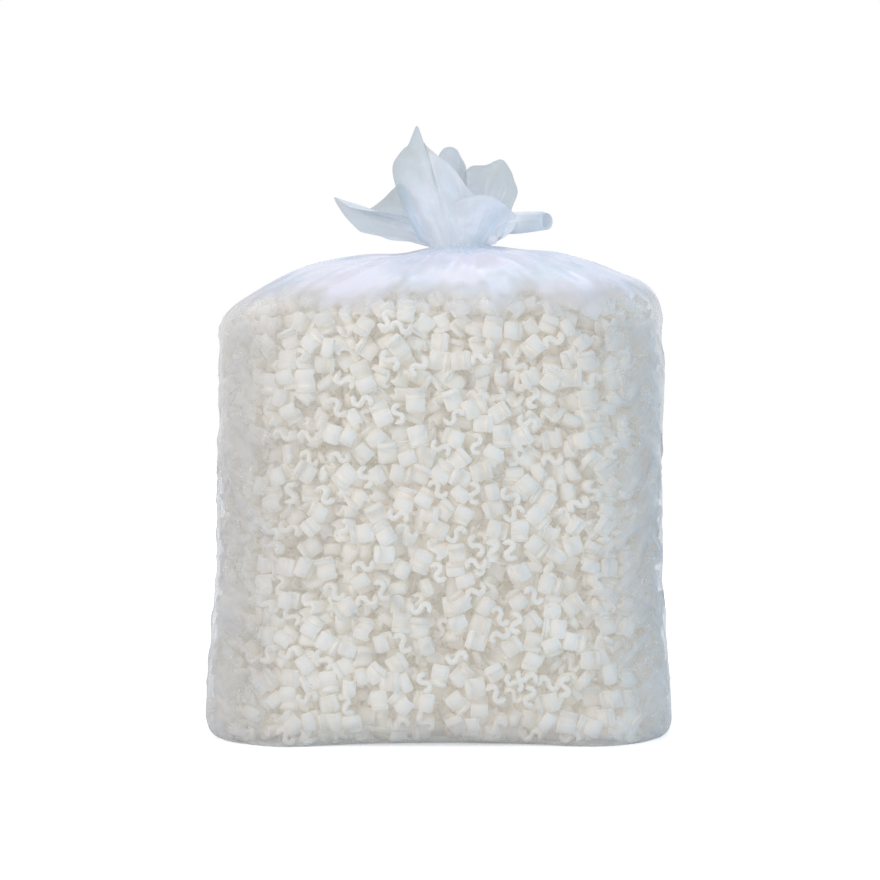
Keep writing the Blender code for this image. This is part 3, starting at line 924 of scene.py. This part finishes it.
def arch(t, far=1.0):
    """Half a sine wave over t from 0 to 1, whose fall stops at far."""
    return np.sin(math.pi * np.clip(t, 0.0, far))


def neck_oval(angle, wide=1.0):
    """How far right of the neck's middle and how far back its oval lies at each angle."""
    return NECK_WIDTH / 2 * np.cos(angle) * wide, NECK_DEPTH / 2 * np.sin(angle) * wide


def film_sheet(name, grid, closed, haze, crease, flow):
    """A piece of film from a grid, with its haze and crease numbers and where its streaks run."""
    piece = mesh_of_faces(name, grid.reshape(-1, 3), [sheet_quads(*grid.shape[:2], closed)])
    haze, crease = (np.broadcast_to(number, grid.shape[:2]) for number in (haze, crease))
    add_layers(piece, haze=haze, crease=crease, flow=flow)
    return piece


def build_lobe(name, look, root_turns, root_lifts, edge_points):
    """One lobe of the spread mouth: each column a quadratic curve from the neck to the free edge.

    The pleats are deep at the neck and fade towards the edge, and straight folds run up the sheet.
    """
    generator = rng_for(name)
    u = np.linspace(0.0, 1.0, LOBE_COLUMNS)
    t = np.linspace(0.0, 1.0, LOBE_ROWS)[:, None]
    angle = np.radians(root_turns[0] + (root_turns[1] - root_turns[0]) * u)
    lift = root_lifts[0] + (root_lifts[1] - root_lifts[0]) * u
    right, back = neck_oval(angle, 2 * LOBE_ROOT)
    root = np.stack([NECK_X + right, back, NECK + lift], axis=1)
    edge = open_curve([seen_at(*point) for point in edge_points], LOBE_COLUMNS)
    pull = root + (edge - root) * LOBE_PULL
    v = t[..., None]
    grid = (1 - v) ** 2 * root + 2 * (v * (1 - v)) * pull + (v * v) * edge
    white, depth, fade = look
    pleats = LOBE_PLEAT * depth * arch(t * 1.2) ** 0.8 * pleat_wave(u, generator, (5, 9, 14))
    folds = straight_folds(u, t, generator, 7, LOBE_FOLD * depth) * arch(t, 0.94) ** 0.7
    grid = grid + sheet_normal(grid) * (pleats + folds)[..., None]
    grey = fade * t**1.5 * (1 - smooth_step(u, 0.40, 0.62))
    white = limited(white * (1 - grey) + 0.85 * (1 - t) ** 2)
    rim = limited((t - 0.95) / 0.04)
    width = np.linalg.norm(np.diff(edge, axis=0), axis=1).sum()
    flow = np.stack(np.broadcast_arrays(u * width, generator.uniform(0, 9), 0.1 * t), axis=2)
    return film_sheet(name, grid, False, white, rim, flow)


def build_horn():
    """The horn: film rolled into a tube along a curve, a spiral section with its free end open.

    Its end is cut aslant, so that the front stops short and the tube shows its inside.
    """
    generator = rng_for("mouth_horn")
    line = open_curve([(*seen_at(*point), half / 1000) for *point, half in HORN], HORN_ROWS)
    middle, half = line[:, :3], line[:, 3:]
    turn = np.linspace(0.0, HORN_TURN, HORN_COLUMNS)
    spiral = 1.0 - 0.10 * turn / turn[-1]
    upward = np.sin(turn) * spiral
    forward = -np.cos(turn) * spiral
    t = np.linspace(0.0, 1.0, HORN_ROWS)[:, None]
    dent = 1 + 0.10 * pleat_wave(turn / (2 * math.pi), generator, (3, 5)) * (1 - 0.5 * t)
    x = middle[:, :1] + HORN_CUT * forward * t**2
    y = middle[:, 1:2] + half * forward * HORN_FLATNESS * dent
    z = middle[:, 2:3] + half * upward * dent
    flow = round_flow(turn[None], 0.012, 0.1 * t)
    return film_sheet("mouth_horn", np.stack([x, y, z], axis=2), False, 1.0 - 0.2 * t, 0.0, flow)


def build_neck():
    """The gathered neck with its knot: a short flared column, pleated all round.

    Its radius dips a little below the spread, and its top end tucks in between the lobes.
    """
    generator = rng_for("film_neck")
    turn = np.arange(NECK_COLUMNS) / NECK_COLUMNS
    rise = np.linspace(0.0, 1.0, NECK_ROWS)[:, None]
    wide = 1.0 - 0.07 * arch(rise * 1.3) - 0.35 * rise**4
    wave = 0.55 * pleat_wave(turn, generator, (17, 26)) + 0.45 * pleat_wave(turn, generator, (41,))
    wave = wave[None] * (0.35 + 0.65 * arch(rise * 0.9 + 0.1))
    right, back = neck_oval(turn * 2 * math.pi, wide * (1 + 0.045 * wave))
    height = NECK - NECK_SINK + NECK_TALL * rise + np.zeros(NECK_COLUMNS)
    flow = round_flow(turn[None] * 2 * math.pi, 0.038, 0.03 * rise)
    return film_sheet("film_neck", np.stack([NECK_X + right, back, height], axis=2), True, 1.0, 0.0, flow)


class Nodes:
    """Short calls for one node tree."""

    def __init__(self, tree):
        self.tree = tree

    def add(self, kind, **settings):
        node = self.tree.nodes.new(kind)
        for name, value in settings.items():
            setattr(node, name, value)
        return node

    def put(self, value, target):
        """Links a socket, or sets a value, which for a colour is its red, green and blue."""
        if isinstance(value, bpy.types.NodeSocket):
            self.tree.links.new(value, target)
        elif target.type == "RGBA":
            target.default_value = (*value, 1.0)
        else:
            target.default_value = value

    def fill(self, node, values):
        """Puts each value in the input of its name or number."""
        for name, value in values.items():
            self.put(value, node.inputs[name])
        return node

    def place(self):
        return self.add("ShaderNodeTexCoord").outputs["Object"]

    def number(self, name):
        return self.add("ShaderNodeAttribute", attribute_name=name).outputs["Fac"]

    def vector(self, name):
        return self.add("ShaderNodeAttribute", attribute_name=name).outputs["Vector"]

    def math(self, operation, *values, clamp=False):
        node = self.add("ShaderNodeMath", operation=operation, use_clamp=clamp)
        return self.fill(node, dict(enumerate(values))).outputs[0]

    def times(self, first, second):
        return self.math("MULTIPLY", first, second)

    def total(self, first, *others):
        for other in others:
            first = self.math("ADD", first, other)
        return first

    def mix(self, factor, first, second):
        node = self.add("ShaderNodeMix", data_type="RGBA")
        return self.fill(node, {"Factor": factor, "A": first, "B": second}).outputs["Result"]

    def noise(self, place, scale, detail=2.0, roughness=0.5):
        values = {"Vector": place, "Scale": scale, "Detail": detail, "Roughness": roughness}
        return self.fill(self.add("ShaderNodeTexNoise"), values).outputs["Fac"]

    def ramp(self, value, low, high, to_low=0.0, to_high=1.0):
        """The value's smooth way from low to high, turned into that from to_low to to_high."""
        node = self.add("ShaderNodeMapRange", interpolation_type="SMOOTHSTEP")
        values = {"Value": value, "From Min": low, "From Max": high, "To Min": to_low, "To Max": to_high}
        return self.fill(node, values).outputs["Result"]

    def bump(self, shader, height, strength, distance):
        """Gives the shader a bump of the height."""
        node = self.add("ShaderNodeBump")
        self.fill(node, {"Strength": strength, "Distance": distance, "Height": height})
        self.put(node.outputs["Normal"], shader.inputs["Normal"])

    def group(self, tree, *sources):
        node = self.add("ShaderNodeGroup", node_tree=tree)
        return self.fill(node, dict(enumerate(sources))).outputs


def new_material(name):
    """A new material, the calls for its node tree, and its shader."""
    material = bpy.data.materials.new(name)
    material.use_nodes = True
    tree = material.node_tree
    return material, Nodes(tree), tree.nodes["Principled BSDF"]


def new_group(name, inputs, outputs):
    """A node group with vector inputs and value outputs: its tree, its input sockets and output node."""
    tree = bpy.data.node_groups.new(name, "ShaderNodeTree")
    for label in inputs:
        tree.interface.new_socket(label, in_out="INPUT", socket_type="NodeSocketVector")
    for label in outputs:
        tree.interface.new_socket(label, in_out="OUTPUT", socket_type="NodeSocketFloat")
    n = Nodes(tree)
    return tree, n, n.add("NodeGroupInput").outputs, n.add("NodeGroupOutput")


def film_crumple_group():
    """What crumpled film shows: streaks along its flow, milky blotches, and the bump of both."""
    tree, n, source, target = new_group("film_crumple", ("Place", "Flow"), ("Streak", "Blotch", "Height"))
    streak = n.noise(source["Flow"], 24.0, 2.0, 0.45)
    blotch = n.noise(source["Place"], 13.0, 2.0, 0.5)
    sway = n.add("ShaderNodeTexNoise").outputs["Color"]
    bent = n.add("ShaderNodeVectorMath", operation="MULTIPLY_ADD")
    n.fill(bent, {0: sway, 1: (0.03, 0.03, 0.03), 2: source["Place"]})
    facet = n.fill(n.add("ShaderNodeTexVoronoi"), {"Scale": 26.0, "Vector": bent.outputs[0]})
    facets = facet.outputs["Distance"]
    mixed = n.total(n.times(streak, 0.7), n.times(facets, 0.3))
    n.fill(target, {
        "Streak": n.ramp(mixed, 0.32, 0.68),
        "Blotch": n.ramp(blotch, 0.36, 0.64),
        "Height": n.total(n.times(streak, 0.45), n.times(facets, 0.55)),
    })
    return tree


def foam_material():
    """Warm white foam: each peanut a little different, with the cells of the foam as a fine bump."""
    material, n, shader = new_material("white_foam_cells")
    place = n.place()
    shade = n.mix(n.number("tone"), (0.855, 0.832, 0.778), (0.92, 0.903, 0.862))
    shade = n.mix(n.ramp(n.noise(place, 14.0), 0.35, 0.7, 0.0, 0.45), shade, (0.90, 0.85, 0.79))
    cells = n.noise(place, 900.0, 3.0, 0.6)
    n.bump(shader, cells, 0.12, 0.001)
    # The emission in the foam's own colour is a painted glow, for light scattered through the foam and back
    # from its crevices.
    n.fill(shader, {
        "Base Color": shade,
        "Emission Color": shade,
        "Emission Strength": FOAM_PAINTED_GLOW,
        "Roughness": n.ramp(cells, 0.3, 0.7, 0.55, 0.75),
        "Specular IOR Level": 0.35,
    })
    return material


def film_shine(n, shader, height, distance, streak):
    """The film's gloss: rougher along its streaks, with its crumple as a bump."""
    n.bump(shader, height, 0.5, distance)
    n.fill(shader, {"Roughness": n.ramp(streak, 0.0, 1.0, 0.15, 0.30), "IOR": 1.5})


def wall_film_material(crumple):
    """The film over the peanuts: nearly clear face on, milky on the crown, at a slant and on creases."""
    material, n, shader = new_material("clear_film_walls")
    place = n.place()
    marks = n.group(crumple, place, n.vector("flow"))
    hang = n.group(crumple, place, n.vector("hang"))
    haze, crease, loose = n.number("haze"), n.number("crease"), n.number("loose")
    facing = n.fill(n.add("ShaderNodeLayerWeight"), {"Blend": 0.35}).outputs["Facing"]
    patchy = n.times(n.math("SUBTRACT", marks["Blotch"], 0.5), n.ramp(haze, 0.0, 0.3, 0.0, 0.3))
    cloudy = n.math("POWER", n.math("ADD", haze, patchy, clamp=True), 1.5)
    alpha = n.total(
        0.07,
        n.times(n.ramp(facing, 0.25, 1.0), 0.42),
        n.times(cloudy, n.ramp(marks["Streak"], 0.0, 1.0, 0.62, 0.71)),
        n.times(crease, 0.20),
        n.times(loose, n.ramp(hang["Streak"], 0.0, 1.0, 0.26, 0.46)))
    # Painted light: the crown's film is brighter than the walls' grey, for the top lamp and the foam below
    # that light it; its milkiness is the haze.
    crown = n.mix(marks["Blotch"], (0.74, 0.84, 0.98), (0.86, 0.85, 0.98))
    wall = n.mix(hang["Streak"], (0.50, 0.51, 0.53), (0.68, 0.69, 0.71))
    wall = n.mix(n.ramp(haze, 0.0, 0.5), wall, (0.78, 0.78, 0.82))
    shade = n.mix(n.ramp(haze, 0.25, 0.9), wall, crown)
    n.fill(shader, {"Base Color": shade, "Alpha": n.math("MINIMUM", alpha, 0.94)})
    crumpled = n.total(n.times(hang["Height"], n.ramp(haze, 0.0, 0.3, 0.35, 0.0)),
                       n.times(marks["Height"], n.ramp(haze, 0.0, 0.3, 0.4, 1.0)))
    film_shine(n, shader, crumpled, 0.004, marks["Streak"])
    return material


def mouth_film_material(crumple):
    """Gathered film: one layer is grey and lets a little through, and the gathers are milky blue."""
    material, n, shader = new_material("clear_film_mouth")
    marks = n.group(crumple, n.place(), n.vector("flow"))
    milky = n.math("ADD", n.times(n.number("haze"), 0.75), n.times(marks["Streak"], 0.25), clamp=True)
    single = n.mix(marks["Blotch"], (0.46, 0.54, 0.55), (0.54, 0.60, 0.65))
    shade = n.mix(milky, single, (0.84, 0.88, 0.95))
    # The milky gathers' emission is a painted glow, for the light that the layers of film pass on to each
    # other.
    n.fill(shader, {
        "Base Color": n.mix(n.times(n.number("crease"), 0.22), shade, (0.50, 0.56, 0.60)),
        "Emission Color": n.mix(milky, (0.0, 0.0, 0.0), (0.86, 0.90, 0.97)),
        "Emission Strength": FILM_PAINTED_GLOW,
        "Alpha": n.total(0.76, n.times(milky, 0.20)),
    })
    film_shine(n, shader, marks["Height"], 0.003, marks["Streak"])
    return material


def painted_glint_material():
    """Painted glints: film drawn as a white line, whiter and duller by patches."""
    material, n, shader = new_material("painted_glint_film")
    patch = n.noise(n.place(), 60.0)
    n.fill(shader, {
        "Base Color": n.mix(patch, (0.86, 0.87, 0.88), (0.97, 0.97, 0.97)),
        "Alpha": n.ramp(patch, 0.35, 0.65, 0.55, 0.9),
        "Roughness": n.ramp(patch, 0.3, 0.7, 0.2, 0.45),
    })
    return material


def dress(piece, material, slot, *nodes):
    """Gives a new piece its material and its place on the only body, and hides the solids it replaces."""
    piece.data.materials.append(material)
    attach(piece, "root")
    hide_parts(*nodes)


def direction_euler(aim):
    """Turns that point -Z along the aim, with +Y as near up as it can be."""
    x, y, z = aim
    return (math.atan2(math.hypot(x, y), -z), 0.0, math.atan2(y, x) - math.pi / 2)


def add_light(name, place, target, size, power, colour):
    """A rectangular lamp at the place that shines at the target."""
    data = bpy.data.lights.new(name, "AREA")
    data.shape = "RECTANGLE"
    data.size, data.size_y = size
    data.energy = power
    data.color = colour
    lamp = linked(name, data)
    lamp.location = place
    lamp.rotation_euler = direction_euler(np.array(target) - np.array(place))


def build_world():
    """A sky that lights softly and that the camera sees as white."""
    world = bpy.data.worlds.new("studio")
    bpy.context.scene.world = world
    world.use_nodes = True
    n = Nodes(world.node_tree)
    path = n.add("ShaderNodeLightPath").outputs
    seen = n.math("MAXIMUM", path["Is Camera Ray"], path["Is Transmission Ray"])
    seen = n.math("MAXIMUM", seen, path["Is Glossy Ray"])
    n.fill(world.node_tree.nodes["Background"], {
        "Color": n.mix(seen, (0.90, 0.94, 1.0), WHITE),
        "Strength": n.total(WORLD_LIGHT, n.times(seen, 1.0 - WORLD_LIGHT)),
    })


def floor_material():
    """A pale floor that keeps the shadow and shows the camera white, but for what the bag covers.

    The covered part is told by the sum of the fourth powers of the shares of the bag's halves.
    """
    material, n, shader = new_material("pale_floor")
    place = n.place()
    away = n.fill(n.add("ShaderNodeVectorMath", operation="LENGTH"), {0: place}).outputs["Value"]
    halves = n.add("ShaderNodeVectorMath", operation="DIVIDE")
    n.fill(halves, {0: place, 1: (BAG_WIDTH / 2, BAG_DEPTH / 2, 1.0)})
    apart = n.fill(n.add("ShaderNodeSeparateXYZ"), {0: halves.outputs["Vector"]})
    under = n.total(*(n.math("POWER", n.math("ABSOLUTE", share), 4.0) for share in apart.outputs[:2]))
    camera = n.add("ShaderNodeLightPath").outputs["Is Camera Ray"]
    white = n.times(n.times(camera, n.ramp(away, 0.45, 1.3, 0.55, 1.0)), n.ramp(under, 0.60, 1.05, 0.45, 1.0))
    n.fill(shader, {
        "Base Color": (0.90, 0.91, 0.93),
        "Roughness": 0.9,
        "Specular IOR Level": 0.1,
        "Emission Color": WHITE,
        "Emission Strength": white,
    })
    return material


def build_studio():
    """The floor, the sky and the lamps."""
    build_world()
    bpy.ops.mesh.primitive_plane_add(size=FLOOR_SIDE, location=(0.0, 0.0, FLOOR_HEIGHT))
    floor = bpy.context.object
    floor.name = "floor"
    floor.data.materials.append(floor_material())
    for name, settings in LAMPS.items():
        add_light(name, *settings)


def build_camera():
    """The camera that sees the bag as the photograph does."""
    data = bpy.data.cameras.new("camera")
    data.sensor_width = SENSOR
    data.lens = FOCAL * SENSOR / PHOTO_SIDE
    camera = linked("camera", data)
    camera.location = (0.0, -CAMERA_BACK, CAMERA_HEIGHT)
    camera.rotation_euler = (math.pi / 2 - math.atan((PHOTO_SIDE / 2 - AHEAD[1]) / FOCAL), 0.0, 0.0)
    bpy.context.scene.camera = camera


def build_peanuts():
    """The foam, as one piece for the solids' own peanuts and two for each layer of the others.

    The deeper a layer lies, the plainer its peanuts are. Returns the places and turns of the ones
    by the film.
    """
    foam = foam_material()
    names, held_at, held_turn = kept_seats()
    at, turn, deep = settle_peanuts(held_at, held_turn)
    held = len(names)
    piece = peanut_cloud("pressed_peanuts", at[:held], turn[:held], 13, True, AS_SOLID)
    dress(piece, foam, "white_foam", *names)
    loose = np.arange(len(at)) >= held
    layers = {"outer": (loose & (deep < SKIN_DEPTH), 11, True),
              "middle": (loose & (deep >= SKIN_DEPTH) & (deep < FINE_DEPTH), 9, True),
              "core": (loose & (deep >= FINE_DEPTH), 7, False)}
    for name, (layer, stations, rounded) in layers.items():
        for k, chosen in enumerate(np.array_split(np.flatnonzero(layer), 2)):
            piece = peanut_cloud(f"{name}_peanuts_{k + 1}", at[chosen], turn[chosen], stations, rounded)
            dress(piece, foam, "white_foam", "peanut_heap")
    outermost = deep < LEAN_DEPTH
    return at[outermost], turn[outermost]


def build_bag(skin):
    """The film over the skin of peanuts, the mouth with its neck, and the painted glints."""
    film, film_grid = build_film(skin)
    crumple = film_crumple_group()
    dress(film, wall_film_material(crumple), "clear_film", "bag_film")
    gathered = mouth_film_material(crumple)
    lobes = [build_lobe(name, *lobe) for name, lobe in LOBES.items()]
    for piece in lobes + [build_horn(), build_neck()]:
        dress(piece, gathered, "clear_film", "bag_film")
    dress(build_painted_glints(film_grid), painted_glint_material(), "clear_film", "bag_film")


build_camera()
build_bag(peanut_skin(*build_peanuts()))
build_studio()
bpy.context.scene.view_settings.view_transform = "Standard"
